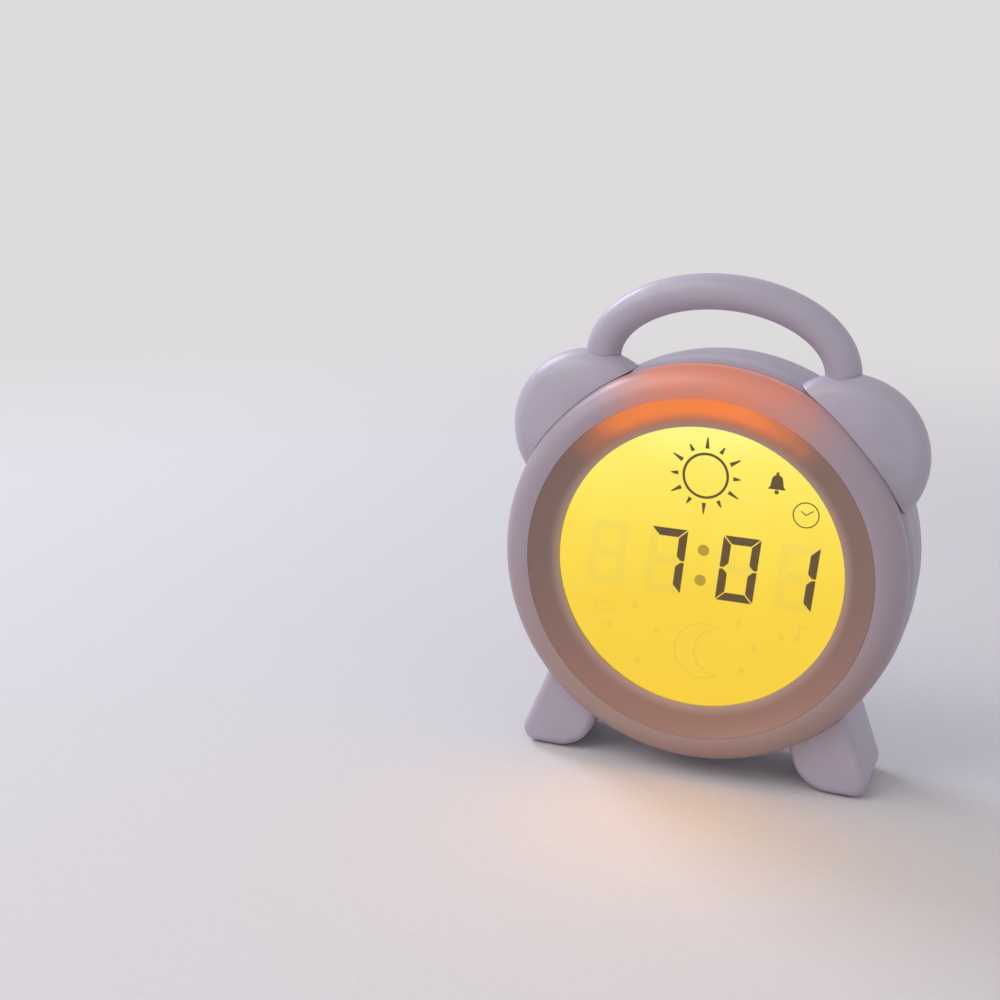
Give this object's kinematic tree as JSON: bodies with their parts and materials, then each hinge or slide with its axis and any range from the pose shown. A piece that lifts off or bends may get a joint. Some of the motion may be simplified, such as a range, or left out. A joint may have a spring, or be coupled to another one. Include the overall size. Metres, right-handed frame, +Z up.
{
  "type": "kids alarm clock with night light",
  "caption": "Round twin-bell style digital alarm clock with a lit display, glowing rim, carry handle and splayed feet.",
  "frame": {"origin": "on the table, below the middle of the clock's overall width and depth", "axes": "+Z up, the display faces -Y, +X to the right as seen by someone who reads the clock"},
  "size_m": [0.145, 0.0514, 0.1764],
  "materials": {
    "lilac_plastic": "matte injection-moulded plastic",
    "milky_plastic": "translucent satin plastic",
    "clear_window": "clear plastic window",
    "yellow_lcd": "back-lit amber LCD glass",
    "white_plastic": "white diffusing plastic",
    "green_board": "solder-masked circuit board",
    "black_plastic": "black moulded plastic",
    "led_plastic": "clear LED package",
    "grey_button": "satin plastic button",
    "sole_rubber": "soft moulded rubber",
    "zinc_screw": "zinc-plated steel",
    "nickel_contact": "nickel-plated spring steel",
    "cell_jacket": "plain printed steel jacket",
    "magnet_steel": "plated steel magnet pot",
    "speaker_paper": "coated paper cone",
    "wire_pvc": "PVC wire insulation",
    "ribbon_pvc": "flat ribbon cable"
  },
  "bodies": {
    "clock": {"housing_drum": "lilac_plastic", "rear_cover": "lilac_plastic", "right_bell": "lilac_plastic", "left_bell": "lilac_plastic", "carry_handle": "lilac_plastic", "right_foot": "lilac_plastic", "left_foot": "lilac_plastic", "front_shell": "milky_plastic", "bezel_ring": "milky_plastic", "display_window": "clear_window", "lcd_panel": "yellow_lcd", "diffuser_plate": "white_plastic", "display_holder": "white_plastic", "led_board": "green_board", "main_board": "green_board", "clock_chip": "black_plastic", "key_switches": "black_plastic", "slide_switch": "black_plastic", "battery_tray": "black_plastic", "speaker_frame": "black_plastic", "ribbon_sockets": "black_plastic", "backlight_leds": "led_plastic", "night_light_leds": "led_plastic", "right_sole": "sole_rubber", "left_sole": "sole_rubber", "front_shell_screws": "zinc_screw", "led_board_screws": "zinc_screw", "bell_screws": "zinc_screw", "foot_screws": "zinc_screw", "rear_cover_screws": "zinc_screw", "main_board_screws": "zinc_screw", "battery_contacts": "nickel_contact", "battery_springs": "nickel_contact", "battery_upper": "cell_jacket", "battery_middle": "cell_jacket", "battery_lower": "cell_jacket", "speaker_magnet": "magnet_steel", "speaker_cone": "speaker_paper", "battery_wires": "wire_pvc", "speaker_wires": "wire_pvc", "ribbon_cable": "ribbon_pvc"},
    "plus_key": {"plus_button": "grey_button", "plus_plunger": "grey_button"},
    "minus_key": {"minus_button": "grey_button", "minus_plunger": "grey_button"},
    "alarm_key": {"alarm_button": "grey_button", "alarm_plunger": "grey_button"},
    "set_key": {"set_button": "grey_button", "set_plunger": "grey_button"},
    "light_key": {"light_button": "grey_button", "light_plunger": "grey_button"},
    "mode_switch": {"switch_knob": "grey_button"},
    "door": {"battery_door": "lilac_plastic"}
  },
  "joints": [
    {"name": "plus_press", "type": "slide", "parent": "clock", "child": "plus_key", "axis": [0, -1, 0], "range_m": [0, 0.0008], "stiffness_N_per_m": 250, "springref_m": -0.001},
    {"name": "minus_press", "type": "slide", "parent": "clock", "child": "minus_key", "axis": [0, -1, 0], "range_m": [0, 0.0008], "stiffness_N_per_m": 250, "springref_m": -0.001},
    {"name": "alarm_press", "type": "slide", "parent": "clock", "child": "alarm_key", "axis": [0, -1, 0], "range_m": [0, 0.0008], "stiffness_N_per_m": 250, "springref_m": -0.001},
    {"name": "set_press", "type": "slide", "parent": "clock", "child": "set_key", "axis": [0, -1, 0], "range_m": [0, 0.0008], "stiffness_N_per_m": 250, "springref_m": -0.001},
    {"name": "light_press", "type": "slide", "parent": "clock", "child": "light_key", "axis": [0, -1, 0], "range_m": [0, 0.0008], "stiffness_N_per_m": 250, "springref_m": -0.001},
    {"name": "mode_slide", "type": "slide", "parent": "clock", "child": "mode_switch", "axis": [1, 0, 0], "range_m": [-0.002, 0.002]},
    {"name": "door_hinge", "type": "hinge", "parent": "clock", "child": "door", "pos_m": [0, 0.02291, 0.0283], "axis": [-1, 0, 0], "range_deg": [0, 100]}
  ]
}
